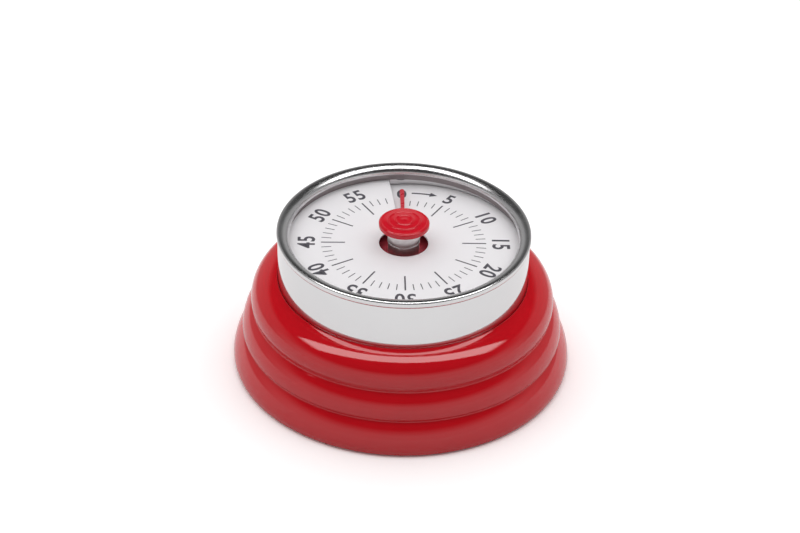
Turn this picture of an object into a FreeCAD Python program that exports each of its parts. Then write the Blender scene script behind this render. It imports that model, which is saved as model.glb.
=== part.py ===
"""A 60-minute kitchen timer: a chromed drum with a beaded bezel stands in a stepped steel base.

Millimetres, +Z up. The origin is the centre of the ring on which the base stands.
Minute 0 of the dial points along +Y and the minutes run clockwise, seen from above.
"""
import FreeCAD, Part
import math
import os

os.makedirs("parts", exist_ok=True)

V = FreeCAD.Vector
UP = V(0, 0, 1)
CENTRE = V(0, 0, 0)

# Stepped base, pressed from sheet steel
foot_radius = 35.65
foot_height = 1.6
hem_inset = 1.35
hem_depth = 2.6
hem_turn = 0.6
step_one_inset = 2.41
step_one_height = 7.4
step_two_inset = 1.9
step_two_height = 13.3
tier_bulge = 0.44
tier_lean = 0.7
tier_swell = 0.4
shoulder_lift = 1.4
shoulder_rise = 5.85
shoulder_inward = 0.29
shoulder_upward = 0.73
base_wall = 0.8
rim_depth = 1.1

# Bottom cover and its magnet
cover_lift = 0.4
cover_thickness = 2.0
magnet_radius = 10.0
magnet_thickness = 1.6
magnet_lift = 0.2
magnet_edge = 0.3

# Drum that holds the movement
drum_radius = 26.15
drum_wall = 1.5
drum_floor = 1.5
drum_wall_lift = 1.95
spigot_step = 0.25
spigot_height = 0.8
ledge_width = 1.4
ledge_thickness = 1.0
ledge_root = 0.2
post_radius = 2.3
post_inset = 2.85
post_bore = 0.9
boss_radius = 3.5
boss_height = 0.8

# Bezel
bead_overhang = 0.25
bead_radius = 0.8
bead_groove = 0.2
sleeve_wall = 0.3
flange_radius = 23.6
flange_drop = 1.1
flange_thickness = 0.4

# Dial
dial_height = 28.15
dial_thickness = 0.3
dial_hole = 5.13
dial_play = 0.1
slit_minute = 59.0
slit_width = 0.3
dip_depth = 1.45
dip_end_minute = 20.0
dip_parts = 8
dip_curve = 1.7

# Knob and hand
cap_radius = 5.26
cap_lift = 3.3
cap_rim_thickness = 1.1
cap_dome = 0.55
cap_edge = 0.3
cap_socket = 0.4
cap_dot_radius = 0.6
cap_ring_first = 1.8
cap_ring_pitch = 1.5
cap_ring_width = 0.45
cap_ring_rise = 0.12
cap_rings = 3
stem_radius = 3.26
stem_head_radius = 3.8
stem_flange_width = 1.0
stem_flange_thickness = 0.6
needle_lift = 0.5
needle_thickness = 0.3
needle_root_width = 0.6
needle_tip_width = 0.95
needle_reach = 19.3
needle_ring_width = 0.8
film_thickness = 0.12
film_play = 0.65
film_drop = 1.85

# Movement frame
plate_play = 1.85
plate_thickness = 1.0
front_space = 1.0
bush_clearance = 1.9
pillar_share = 0.921
pillar_radius = 1.2
pillar_count = 3
nut_radius = 1.7
nut_height = 0.8
bush_radius = 3.0
bush_rise = 1.2
bush_step = 0.8
train_direction = 200.0
pillar_turn = -36.0
post_turn = 24.0

# Running and press fits
running_clearance = 0.05
press_clearance = 0.02
seat_clearance = 0.05
end_play = 0.1

# Arbors
main_arbor_radius = 1.5
main_pivot_radius = 1.0
train_arbor_radius = 0.6
train_pivot_radius = 0.4
pivot_share = 0.8

# Wheels and pinions
main_teeth = 64
main_module_share = 60.0
second_teeth = 60
third_teeth = 48
fine_module_share = 91.2
pinion_leaves = 8
wheel_tip = 0.7
wheel_root = 1.0
wheel_tip_share = 0.16
wheel_root_share = 0.44
leaf_tip = 0.5
leaf_root = 1.05
leaf_tip_share = 0.18
leaf_root_share = 0.4
wheel_thickness = 0.6
main_wheel_thickness = 0.8
pinion_overhang = 0.35
main_wheel_gap = 1.0
second_wheel_gap = 1.5
escape_wheel_drop = 1.5
third_wheel_drop = 2.9
third_share = 0.7018
escape_share = 0.6579
escape_teeth = 15
escape_radius_share = 0.1886
escape_tooth_depth = 1.0
escape_tip_share = 0.06
escape_root_start = 0.3
escape_root_end = 0.7
wheel_spokes = 4
wheel_rim = 1.2
wheel_hub = 1.9

# Verge: pallets and balance ring on one arbor
pallet_gap = 0.12
pallet_width = 0.5
pallet_span = 4.5
verge_arm_width = 0.9
balance_rim = 1.0
balance_spoke = 0.8
balance_hub = 1.3
balance_gap = 0.6

# Ratchet on the arbor, click on the main wheel
ratchet_teeth = 12
ratchet_radius = 3.6
ratchet_tooth_depth = 0.6
ratchet_tooth_share = 0.12
ratchet_gap = 0.25
ratchet_lift = 0.3
ratchet_thickness = 0.8
click_circle = 6.9
click_width = 1.0
click_pin_radius = 0.6
click_pin_rise = 0.3
click_eye_wall = 0.5
click_direction = 130.0

# Mainspring
spring_height = 2.6
spring_thickness = 0.25
spring_lift = 0.6
spring_turns = 4
spring_pitch = 1.7
spring_post_radius = 0.8
spring_post_rise = 0.2

# Striking work
cam_radius = 4.0
cam_notch_depth = 0.8
cam_notch_width = 1.6
cam_thickness = 0.6
cam_gap = 0.5
hammer_direction = 165.0
hammer_arm_length = 7.0
hammer_arm_width = 1.4
hammer_arm_thickness = 0.7
hammer_arm_lift = 0.45
hammer_head_radius = 1.5
hammer_head_height = 2.6
hammer_rest_gap = 0.35
tail_width = 0.8
tail_hub = 1.4
tail_gap = 0.2
bell_inset = 4.8
bell_gap = 1.5
bell_wall = 0.7
bell_lip = 3.2

# Screws
screw_head_radius = 1.5
screw_head_height = 0.7
screw_radius = 0.8
cover_screw_bite = 2.0
movement_screw_bite = 3.0
bell_screw_radius = 1.2
bell_screw_head_radius = 2.6
bell_screw_head_height = 1.2
bell_screw_inset = 0.3

# Angles
minutes_round = 60
minute_angle = 360.0 / minutes_round
slit_direction = 90.0 - minute_angle * (slit_minute - minutes_round)
dip_end_direction = 90.0 - minute_angle * dip_end_minute

# Radii that follow
step_one_radius = foot_radius - step_one_inset
step_two_radius = step_one_radius - step_two_inset
hem_radius = foot_radius - hem_inset
rim_radius = drum_radius + seat_clearance
drum_bore = drum_radius - drum_wall
spigot_radius = drum_radius - spigot_step
post_circle = drum_bore - post_inset
bead_centre_radius = drum_radius + bead_overhang - bead_radius
dial_radius = drum_bore - dial_play
film_radius = drum_bore - ledge_width - film_play
stem_flange_radius = stem_radius + stem_flange_width
plate_radius = drum_bore - plate_play
pillar_circle = plate_radius * pillar_share
bell_radius = plate_radius - bell_inset
main_module = plate_radius / main_module_share
fine_module = plate_radius / fine_module_share
main_wheel_radius = main_teeth * main_module / 2
second_pinion_radius = pinion_leaves * main_module / 2
second_wheel_radius = second_teeth * fine_module / 2
fine_pinion_radius = pinion_leaves * fine_module / 2
third_wheel_radius = third_teeth * fine_module / 2
second_circle = main_wheel_radius + second_pinion_radius
second_reach = second_wheel_radius + fine_pinion_radius
third_reach = third_wheel_radius + fine_pinion_radius
third_circle = plate_radius * third_share
escape_circle = plate_radius * escape_share
verge_circle = escape_circle
escape_radius = plate_radius * escape_radius_share
balance_radius = escape_radius

# Heights that follow
shoulder_start = step_two_height + shoulder_lift
rim_height = shoulder_start + shoulder_rise
cover_top = cover_lift + cover_thickness
drum_floor_top = cover_top + drum_floor
dial_top = dial_height + dial_thickness
drum_wall_height = dial_top + drum_wall_lift
drum_top = drum_wall_height + spigot_height
film_height = dial_height - film_drop
stem_base = film_height - stem_flange_thickness
needle_height = dial_top + needle_lift
needle_top = needle_height + needle_thickness
cap_rim_height = needle_top + cap_lift
movement_rise = (spring_lift + spring_height + main_wheel_gap + main_wheel_thickness + ratchet_lift
                 + ratchet_thickness + cam_gap + cam_thickness + front_space + plate_thickness)
back_plate_height = stem_base - bush_clearance - bush_rise - movement_rise - plate_thickness
bell_space = back_plate_height - drum_floor_top
bell_height = bell_space - boss_height - bell_gap
bell_corner = bell_height - bell_lip
plate_inside = back_plate_height + plate_thickness
main_wheel_height = plate_inside + spring_lift + spring_height + main_wheel_gap
main_wheel_top = main_wheel_height + main_wheel_thickness
ratchet_height = main_wheel_top + ratchet_lift
cam_height = ratchet_height + ratchet_thickness + cam_gap
second_wheel_height = main_wheel_top + second_wheel_gap
balance_height = main_wheel_top + balance_gap
escape_wheel_height = main_wheel_height - escape_wheel_drop
third_wheel_height = main_wheel_height - third_wheel_drop
front_plate_height = cam_height + cam_thickness + front_space
front_plate_top = front_plate_height + plate_thickness
plate_gap = front_plate_height - plate_inside
bead_height = drum_top
cap_top = cap_rim_height + cap_rim_thickness + cap_dome


def polar(radius, degrees, z=0.0):
    """Point at a radius and a direction from the main axis."""
    turn = math.radians(degrees)
    return V(radius * math.cos(turn), radius * math.sin(turn), z)


def direction(start, end):
    """Direction in degrees from one point to another, seen from above."""
    return math.degrees(math.atan2(end.y - start.y, end.x - start.x))


def disc(radius, height, z, place=CENTRE):
    return Part.makeCylinder(radius, height, V(place.x, place.y, z), UP)


def ring(outer, inner, height, z, place=CENTRE):
    return disc(outer, height, z, place).cut(disc(inner, height, z, place))


def revolved(start, *steps):
    """Turn a closed outline about the main axis.

    A step is the next (radius, height), or a pair of such points: a point on an arc and its end.
    """
    def point(pair):
        return V(pair[0], 0, pair[1])

    edges = []
    here = point(start)
    for step in steps:
        if isinstance(step[0], tuple):
            end = point(step[1])
            edges.append(Part.Arc(here, point(step[0]), end).toShape())
        else:
            end = point(step)
            edges.append(Part.LineSegment(here, end).toShape())
        here = end
    edges.append(Part.LineSegment(here, point(start)).toShape())
    face = Part.Face(Part.Wire(edges))
    return face.revolve(CENTRE, UP, 360)


def prism(points, z, height):
    """Upright solid over a closed polygon seen from above."""
    corners = [V(p.x, p.y, z) for p in points]
    face = Part.Face(Part.makePolygon(corners + corners[:1]))
    return face.extrude(V(0, 0, height))


def bar(start, end, width, z, height):
    """Flat bar with rounded ends between two points."""
    along = V(end.x - start.x, end.y - start.y, 0)
    side = V(-along.y, along.x, 0).normalize() * (width / 2)
    body = prism([start + side, start - side, end - side, end + side], z, height)
    for place in (start, end):
        body = body.fuse(disc(width / 2, height, z, place))
    return body.removeSplitter()


def toothed(teeth, tip_radius, root_radius, tip_share, root_share, place, phase, z, height):
    """Solid gear blank; a share is a tooth's part of one tooth pitch."""
    pitch = 360.0 / teeth
    points = []
    for tooth in range(teeth):
        middle = phase + tooth * pitch
        points.append(place + polar(root_radius, middle - root_share * pitch / 2))
        points.append(place + polar(tip_radius, middle - tip_share * pitch / 2))
        points.append(place + polar(tip_radius, middle + tip_share * pitch / 2))
        points.append(place + polar(root_radius, middle + root_share * pitch / 2))
    return prism(points, z, height)


def sector(radius, z, height):
    """Solid over the bent part of the dial, from the slit to the end of the dip."""
    far = 4 * radius
    middle = (slit_direction + dip_end_direction) / 2
    return prism([CENTRE, polar(far, slit_direction), polar(2 * far, middle),
                  polar(far, dip_end_direction)], z, height)


def wheel(teeth, module, place, toward, bore, z, height):
    """Spoked wheel with a tooth gap turned toward its pinion."""
    pitch_radius = teeth * module / 2
    phase = toward + 180.0 / teeth
    blank = toothed(teeth, pitch_radius + wheel_tip * module, pitch_radius - wheel_root * module,
                    wheel_tip_share, wheel_root_share, place, phase, z, height)
    rim_inside = pitch_radius - wheel_root * module - wheel_rim
    window = disc(rim_inside, height, z, place).cut(disc(wheel_hub, height, z, place))
    for spoke in range(wheel_spokes // 2):
        turn = phase + spoke * 360.0 / wheel_spokes
        window = window.cut(bar(place + polar(rim_inside, turn), place + polar(rim_inside, turn + 180),
                                wheel_rim, z, height))
    return blank.cut(window).cut(disc(bore, height, z, place))


def pinion(module, place, toward, bore, z, height):
    """Small pinion with a leaf turned toward its wheel."""
    pitch_radius = pinion_leaves * module / 2
    leaves = toothed(pinion_leaves, pitch_radius + leaf_tip * module, pitch_radius - leaf_root * module,
                     leaf_tip_share, leaf_root_share, place, toward, z, height)
    return leaves.cut(disc(bore, height, z, place))


def arbor(place, radius, pivot):
    """Arbor that runs between the plates, with a thinner pivot in each."""
    bottom = plate_inside + end_play
    length = plate_gap - 2 * end_play
    body = disc(radius, length, bottom, place)
    bite = pivot_share * plate_thickness
    return body.fuse(disc(pivot, plate_gap + 2 * bite, plate_inside - bite, place)).removeSplitter()


def triangle_corner(first_radius, second_radius, first_direction, reach):
    """Place on the second circle at a given reach from a point on the first circle."""
    cosine = (first_radius ** 2 + second_radius ** 2 - reach ** 2) / (2 * first_radius * second_radius)
    return first_direction + math.degrees(math.acos(cosine))


# Places of the train, going round from the second arbor
second_place = polar(second_circle, train_direction)
third_direction = triangle_corner(second_circle, third_circle, train_direction, second_reach)
third_place = polar(third_circle, third_direction)
escape_direction = triangle_corner(third_circle, escape_circle, third_direction, third_reach)
escape_place = polar(escape_circle, escape_direction)
verge_reach = escape_radius + pallet_gap + wheel_hub
verge_direction = triangle_corner(escape_circle, verge_circle, escape_direction, verge_reach)
verge_place = polar(verge_circle, verge_direction)

# Places of the frame's pillars and of the drum's posts
pillar_places = [polar(pillar_circle, train_direction + pillar_turn + k * 360.0 / pillar_count)
                 for k in range(pillar_count)]
post_places = [polar(post_circle, train_direction + post_turn + k * 360.0 / pillar_count)
               for k in range(pillar_count)]

# Places of the striking work
head_circle = bell_radius - bell_wall - hammer_rest_gap - hammer_head_radius
hammer_circle = math.hypot(head_circle, hammer_arm_length)
tail_circle = cam_radius + tail_gap + tail_width / 2
hammer_turn = train_direction + hammer_direction
hammer_place = polar(hammer_circle, hammer_turn)
head_place = polar(head_circle, hammer_turn + math.degrees(math.acos(head_circle / hammer_circle)))
tail_place = polar(tail_circle, hammer_turn - math.degrees(math.acos(tail_circle / hammer_circle)))


def make_base_skirt():
    """Bell of lacquered sheet steel: three bulging tiers over a hem."""
    one_wall = step_one_radius + tier_bulge
    two_wall = step_two_radius + tier_bulge
    rise = step_two_height - (step_one_height + tier_lean)
    drop = one_wall - step_two_radius
    sweep = (rise ** 2 + drop ** 2) / (2 * drop)
    turn = math.asin(rise / sweep) / 2
    tier_one = ((step_one_radius + foot_radius) / 2 + tier_swell,
                (step_one_height + foot_height) / 2 + tier_swell)
    tier_two = (one_wall - sweep * (1 - math.cos(turn)),
                step_one_height + tier_lean + sweep * math.sin(turn))

    shoulder = (two_wall - shoulder_inward * (two_wall - rim_radius),
                shoulder_start + shoulder_upward * shoulder_rise)

    def inside(point):
        return (point[0] - base_wall, point[1] - tier_lean)

    return revolved(
        (hem_radius, 0),
        (hem_radius + hem_turn, 0),
        (foot_radius - hem_turn / 4, foot_height / 3),
        (foot_radius, foot_height),
        (tier_one, (step_one_radius, step_one_height)),
        (one_wall, step_one_height + tier_lean),
        (tier_two, (step_two_radius, step_two_height)),
        (two_wall, shoulder_start),
        (shoulder, (rim_radius, rim_height)),
        (rim_radius, rim_height - rim_depth),
        inside(shoulder),
        inside((two_wall, shoulder_start)),
        inside((step_two_radius, step_two_height)),
        inside(tier_two),
        inside((one_wall, step_one_height + tier_lean)),
        inside((step_one_radius, step_one_height)),
        inside(tier_one),
        (hem_radius, hem_depth))


def make_bottom_cover():
    """Plastic plate that closes the base, with a pocket for the magnet and three screw holes."""
    plate = disc(hem_radius - seat_clearance, cover_thickness, cover_lift)
    pocket_depth = magnet_lift + magnet_thickness + press_clearance - cover_lift
    plate = plate.cut(disc(magnet_radius + press_clearance, pocket_depth, cover_lift))
    for place in post_places:
        plate = plate.cut(disc(screw_radius + running_clearance, cover_thickness, cover_lift, place))
        plate = plate.cut(disc(screw_head_radius + running_clearance, screw_head_height, cover_lift, place))
    return plate


def make_magnet():
    """Round ferrite magnet that holds the timer to a steel door."""
    body = disc(magnet_radius, magnet_thickness, magnet_lift)
    return body.makeChamfer(magnet_edge, [body.Edges[0], body.Edges[2]])


def screw(place, head_base, shank_length, shank, up):
    """Pan-head screw; the shank runs up or down from its head."""
    head = disc(screw_head_radius, screw_head_height, head_base, place)
    start = head_base + screw_head_height if up else head_base - shank_length
    return head.fuse(disc(shank, shank_length, start, place)).removeSplitter()


def make_cover_screws():
    """Three screws from below that hold the drum on the bottom cover."""
    length = cover_thickness - screw_head_height + drum_floor + cover_screw_bite
    return Part.makeCompound([screw(place, cover_lift, length, screw_radius, True)
                              for place in post_places])


def make_drum_case():
    """Open chromed cup with posts for the movement and a ledge for the dial."""
    case = revolved((0, cover_top), (drum_radius, cover_top), (drum_radius, drum_wall_height),
                    (spigot_radius, drum_wall_height), (spigot_radius, drum_top), (drum_bore, drum_top),
                    (drum_bore, drum_floor_top), (0, drum_floor_top))
    for place in post_places:
        case = case.fuse(disc(post_radius, bell_space, drum_floor_top, place))
    ledge_base = dial_height - ledge_thickness
    ledge = ring(drum_bore + ledge_root, drum_bore - ledge_width, ledge_thickness, ledge_base)
    ledge = ledge.cut(sector(drum_radius, ledge_base, ledge_thickness))
    case = case.fuse(ledge).fuse(disc(boss_radius, boss_height, drum_floor_top))
    case = case.cut(disc(bell_screw_radius, drum_floor + boss_height, cover_top))
    for place in post_places:
        case = case.cut(disc(post_bore, drum_floor + bell_space, cover_top, place))
    return case.removeSplitter()


def make_bezel_ring():
    """Chromed ring pressed over the drum: a round bead, a sloping flange and an inner sleeve."""
    skirt_base = drum_wall_height + bead_groove
    skirt_inner = spigot_radius + press_clearance
    sleeve_outer = drum_bore - press_clearance
    sleeve_inner = sleeve_outer - sleeve_wall
    skirt_drop = bead_height - skirt_base
    skirt_outer = bead_centre_radius + math.sqrt(bead_radius ** 2 - skirt_drop ** 2)
    half = math.sqrt(0.5) * bead_radius
    flange_root = (bead_centre_radius - half, bead_height + half)
    flange_base = flange_root[1] - flange_drop - flange_thickness
    slope = flange_drop / (flange_root[0] - flange_radius)
    return revolved(
        (skirt_inner, skirt_base),
        (skirt_outer, skirt_base),
        ((bead_centre_radius + half, bead_height + half), flange_root),
        (flange_radius, flange_base + flange_thickness),
        (flange_radius, flange_base),
        (sleeve_inner, flange_base + slope * (sleeve_inner - flange_radius)),
        (sleeve_inner, dial_top + seat_clearance),
        (sleeve_outer, dial_top + seat_clearance),
        (sleeve_outer, drum_top),
        (skirt_inner, drum_top))


def make_dial_plate():
    """Thin printed plate, cut along one radius and bent down on one side of the cut."""
    flat = ring(dial_radius, dial_hole, dial_thickness, dial_height)
    flat = flat.cut(sector(dial_radius, dial_height, dial_thickness))
    slit_turn = math.degrees(slit_width / dial_radius)
    sections = []
    for k in range(dip_parts + 1):
        share = k / dip_parts
        turn = (slit_direction - slit_turn) * (1 - share) + dip_end_direction * share
        drop = dip_depth * ((turn - dip_end_direction) / (slit_direction - dip_end_direction)) ** dip_curve
        corners = [polar(dial_hole, turn, dial_top), polar(dial_radius, turn, dial_top - drop),
                   polar(dial_radius, turn, dial_height - drop), polar(dial_hole, turn, dial_height)]
        sections.append(Part.makePolygon(corners + corners[:1]))
    return flat.fuse(Part.makeLoft(sections, True, False))


def make_knob_cap():
    """Round red cap with a low dome, concentric raised rings and a dot in the middle."""
    rim = cap_rim_height + cap_rim_thickness

    def dome(radius):
        return rim + cap_dome * (1 - (radius / cap_radius) ** 2)

    steps = [(cap_radius - cap_edge, cap_rim_height), (cap_radius, cap_rim_height + cap_edge),
             (cap_radius, rim - cap_edge / 2), (cap_radius - cap_edge / 2, dome(cap_radius - cap_edge / 2))]
    for k in reversed(range(cap_rings)):
        outer = cap_ring_first + k * cap_ring_pitch + cap_ring_width / 2
        inner = outer - cap_ring_width
        steps += [(outer, dome(outer)), (outer - cap_ring_rise, dome(outer) + cap_ring_rise),
                  (inner + cap_ring_rise, dome(inner) + cap_ring_rise), (inner, dome(inner))]
    steps += [(cap_dot_radius, dome(cap_dot_radius)),
              (cap_dot_radius - cap_ring_rise, dome(cap_dot_radius) + cap_ring_rise),
              (0, cap_top + cap_ring_rise), (0, cap_rim_height + cap_socket)]
    socket = main_arbor_radius + press_clearance
    steps.append((socket, cap_rim_height + cap_socket))
    return revolved((socket, cap_rim_height), *steps)


def make_knob_stem():
    """Steel stem that widens toward the cap, with a flange below for the red film."""
    bore = main_arbor_radius + press_clearance
    return revolved((bore, stem_base), (stem_flange_radius, stem_base),
                    (stem_flange_radius, film_height), (stem_radius, film_height),
                    (stem_radius, needle_top), (stem_head_radius, cap_rim_height),
                    (bore, cap_rim_height))


def make_needle():
    """Red hand: an eye round the stem and a blade that widens to a round tip."""
    eye = ring(stem_radius + needle_ring_width, stem_radius + press_clearance,
               needle_thickness, needle_height)
    root = stem_radius + needle_ring_width / 2
    tip = needle_reach - needle_tip_width / 2
    blade = prism([V(-needle_root_width / 2, root, 0), V(needle_root_width / 2, root, 0),
                   V(needle_tip_width / 2, tip, 0), V(-needle_tip_width / 2, tip, 0)],
                  needle_height, needle_thickness)
    blade = blade.fuse(disc(needle_tip_width / 2, needle_thickness, needle_height, V(0, tip, 0)))
    return eye.fuse(blade).removeSplitter()


def make_film_disc():
    """Thin red film on the stem's flange, cut along the radius that follows the hand."""
    film = ring(film_radius, stem_radius + press_clearance, film_thickness, film_height)
    cut = bar(polar(stem_radius, slit_direction), polar(2 * film_radius, slit_direction), slit_width,
              film_height, film_thickness)
    return film.cut(cut)


def make_main_arbor():
    """Steel arbor from the back plate up into the knob."""
    bottom = plate_inside + end_play
    body = disc(main_arbor_radius, cap_rim_height + cap_socket - bottom, bottom)
    return body.fuse(disc(main_pivot_radius, plate_thickness, bottom - plate_thickness)).removeSplitter()


def make_plate(z, centre_hole, pivots):
    """Round brass plate with holes for the pillars, the pivots and the screws."""
    plate = disc(plate_radius, plate_thickness, z).cut(disc(centre_hole, plate_thickness, z))
    for place in pivots:
        plate = plate.cut(disc(train_pivot_radius + running_clearance, plate_thickness, z, place))
    for place in pillar_places:
        plate = plate.cut(disc(screw_radius + running_clearance, plate_thickness, z, place))
    return plate


def make_back_plate():
    pivots = [second_place, third_place, escape_place, verge_place]
    plate = make_plate(back_plate_height, main_pivot_radius + running_clearance, pivots)
    plate = plate.cut(disc(train_arbor_radius + running_clearance, plate_thickness,
                           back_plate_height, hammer_place))
    for place in post_places:
        plate = plate.cut(disc(screw_radius + running_clearance, plate_thickness,
                               back_plate_height, place))
    return plate


def make_front_plate():
    pivots = [second_place, third_place, escape_place, verge_place, hammer_place]
    return make_plate(front_plate_height, bush_radius - bush_step + press_clearance, pivots)


def make_front_bush():
    """Brass bearing of the main arbor, riveted in the front plate."""
    collar = ring(bush_radius, main_arbor_radius + running_clearance, bush_rise, front_plate_top)
    neck = ring(bush_radius - bush_step, main_arbor_radius + running_clearance,
                plate_thickness, front_plate_height)
    return collar.fuse(neck).removeSplitter()


def make_plate_pillars():
    """Three turned pillars with a stud at each end."""
    pillars = []
    for place in pillar_places:
        body = disc(pillar_radius, plate_gap, plate_inside, place)
        stud = disc(screw_radius, plate_gap + 2 * plate_thickness + 2 * nut_height,
                    back_plate_height - nut_height, place)
        pillars.append(body.fuse(stud).removeSplitter())
    return Part.makeCompound(pillars)


def make_pillar_nuts():
    """Hexagon nuts on both ends of the pillars."""
    nuts = []
    for place in pillar_places:
        for z in (back_plate_height - nut_height, front_plate_top):
            corners = [place + polar(nut_radius, 60 * k) for k in range(6)]
            nuts.append(prism(corners, z, nut_height).cut(
                disc(screw_radius + press_clearance, nut_height, z, place)))
    return Part.makeCompound(nuts)


def make_movement_screws():
    """Three screws that hold the back plate on the drum's posts."""
    return Part.makeCompound([screw(place, plate_inside, plate_thickness + movement_screw_bite,
                                    screw_radius, False)
                              for place in post_places])


def make_mainspring():
    """Flat steel spiral between the arbor and its post, as half turns about two centres."""
    z = plate_inside + spring_lift
    grow = spring_pitch / 2
    inner = []
    outer = []
    radius = main_arbor_radius + seat_clearance
    centre = CENTRE
    side = 1
    for _ in range(2 * spring_turns):
        for edges, r in ((inner, radius), (outer, radius + spring_thickness)):
            start = V(centre.x + side * r, 0, z)
            middle = V(centre.x, side * r, z)
            end = V(centre.x - side * r, 0, z)
            edges.append((start, middle, end))
        radius += grow
        centre = V(centre.x + side * grow, 0, 0)
        side = -side
    edges = [Part.Arc(*points).toShape() for points in inner]
    edges.append(Part.LineSegment(inner[-1][2], outer[-1][2]).toShape())
    edges += [Part.Arc(*points).toShape() for points in reversed(outer)]
    edges.append(Part.LineSegment(outer[0][0], inner[0][0]).toShape())
    return Part.Face(Part.Wire(Part.__sortEdges__(edges))).extrude(V(0, 0, spring_height))


def make_spring_post():
    """Pin of the back plate that holds the mainspring's outer end."""
    outer_end = main_arbor_radius + seat_clearance + spring_turns * spring_pitch + spring_thickness
    place = V(outer_end + spring_post_radius + press_clearance, 0, 0)
    return disc(spring_post_radius, spring_lift + spring_height + spring_post_rise, plate_inside, place)


def make_main_wheel():
    """Great wheel, free on the arbor, with the pin on which the click turns."""
    body = wheel(main_teeth, main_module, CENTRE, train_direction,
                 main_arbor_radius + running_clearance, main_wheel_height, main_wheel_thickness)
    place = polar(click_circle, train_direction + click_direction)
    seat = disc(wheel_rim, main_wheel_thickness, main_wheel_height, place)
    pin = disc(click_pin_radius, ratchet_lift + ratchet_thickness + click_pin_rise, main_wheel_top, place)
    spoke = bar(polar(wheel_hub, train_direction + click_direction),
                polar(main_wheel_radius - main_module - wheel_rim / 2, train_direction + click_direction),
                wheel_rim, main_wheel_height, main_wheel_thickness)
    body = body.fuse(spoke).fuse(seat).fuse(pin)
    bore = disc(main_arbor_radius + running_clearance, main_wheel_thickness, main_wheel_height)
    return body.cut(bore).removeSplitter()


def make_ratchet_wheel():
    """Saw-toothed wheel pressed on the arbor."""
    pitch = 360.0 / ratchet_teeth
    points = []
    for tooth in range(ratchet_teeth):
        points.append(polar(ratchet_radius, tooth * pitch))
        points.append(polar(ratchet_radius - ratchet_tooth_depth, (tooth + ratchet_tooth_share) * pitch))
    blank = prism(points, ratchet_height, ratchet_thickness)
    return blank.cut(disc(main_arbor_radius + press_clearance, ratchet_thickness, ratchet_height))


def make_click():
    """Pawl on the great wheel's pin; its nose trails on the ratchet."""
    turn = train_direction + click_direction
    pivot = polar(click_circle, turn)
    nose_circle = ratchet_radius + ratchet_gap + click_width / 2
    nose_turn = turn - math.degrees(math.acos(nose_circle / click_circle))
    nose = polar(nose_circle, nose_turn)
    pawl = bar(pivot, nose, click_width, ratchet_height, ratchet_thickness)
    eye = disc(click_pin_radius + click_eye_wall, ratchet_thickness, ratchet_height, pivot)
    hole = disc(click_pin_radius + running_clearance, ratchet_thickness, ratchet_height, pivot)
    return pawl.fuse(eye).cut(hole).removeSplitter()


def make_strike_cam():
    """Disc with one notch that lets the hammer free at zero."""
    cam = ring(cam_radius, main_arbor_radius + press_clearance, cam_thickness, cam_height)
    turn = direction(CENTRE, tail_place)
    notch = bar(polar(cam_radius - cam_notch_depth + cam_notch_width / 2, turn),
                polar(2 * cam_radius, turn), cam_notch_width, cam_height, cam_thickness)
    return cam.cut(notch)


def make_second_wheel():
    return wheel(second_teeth, fine_module, second_place, direction(second_place, third_place),
                 train_arbor_radius + press_clearance, second_wheel_height, wheel_thickness)


def make_second_pinion():
    """Pinion of the great wheel with the second arbor."""
    z = main_wheel_height - pinion_overhang
    leaves = pinion(main_module, second_place, direction(second_place, CENTRE), train_pivot_radius,
                    z, main_wheel_thickness + 2 * pinion_overhang)
    return arbor(second_place, train_arbor_radius, train_pivot_radius).fuse(leaves).removeSplitter()


def make_third_wheel():
    return wheel(third_teeth, fine_module, third_place, direction(third_place, escape_place),
                 train_arbor_radius + press_clearance, third_wheel_height, wheel_thickness)


def make_third_pinion():
    """Pinion of the second wheel with the third arbor."""
    z = second_wheel_height - pinion_overhang
    leaves = pinion(fine_module, third_place, direction(third_place, second_place),
                    train_pivot_radius, z, wheel_thickness + 2 * pinion_overhang)
    return arbor(third_place, train_arbor_radius, train_pivot_radius).fuse(leaves).removeSplitter()


def make_escape_wheel():
    """Wheel of pointed teeth that gives its turning to the pallets tooth by tooth."""
    toward = direction(escape_place, verge_place)
    pitch = 360.0 / escape_teeth
    points = []
    for tooth in range(escape_teeth):
        middle = toward + tooth * pitch
        points.append(escape_place + polar(escape_radius, middle - escape_tip_share * pitch))
        points.append(escape_place + polar(escape_radius, middle + escape_tip_share * pitch))
        for share in (escape_root_start, escape_root_end):
            points.append(escape_place + polar(escape_radius - escape_tooth_depth, middle + share * pitch))
    blank = prism(points, escape_wheel_height, wheel_thickness)
    return blank.cut(disc(train_arbor_radius + press_clearance, wheel_thickness,
                          escape_wheel_height, escape_place))


def make_escape_pinion():
    """Pinion of the third wheel with the escape arbor."""
    z = third_wheel_height - pinion_overhang
    leaves = pinion(fine_module, escape_place, direction(escape_place, third_place),
                    train_pivot_radius, z, wheel_thickness + 2 * pinion_overhang)
    return arbor(escape_place, train_arbor_radius, train_pivot_radius).fuse(leaves).removeSplitter()


def pallet_places():
    """The two pallets stand just outside the escape wheel's tips."""
    toward = direction(escape_place, verge_place)
    reach = escape_radius + pallet_gap + pallet_width / 2
    spread = pallet_span / 2 * 360.0 / escape_teeth
    return [escape_place + polar(reach, toward + side * spread) for side in (-1, 1)]


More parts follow.
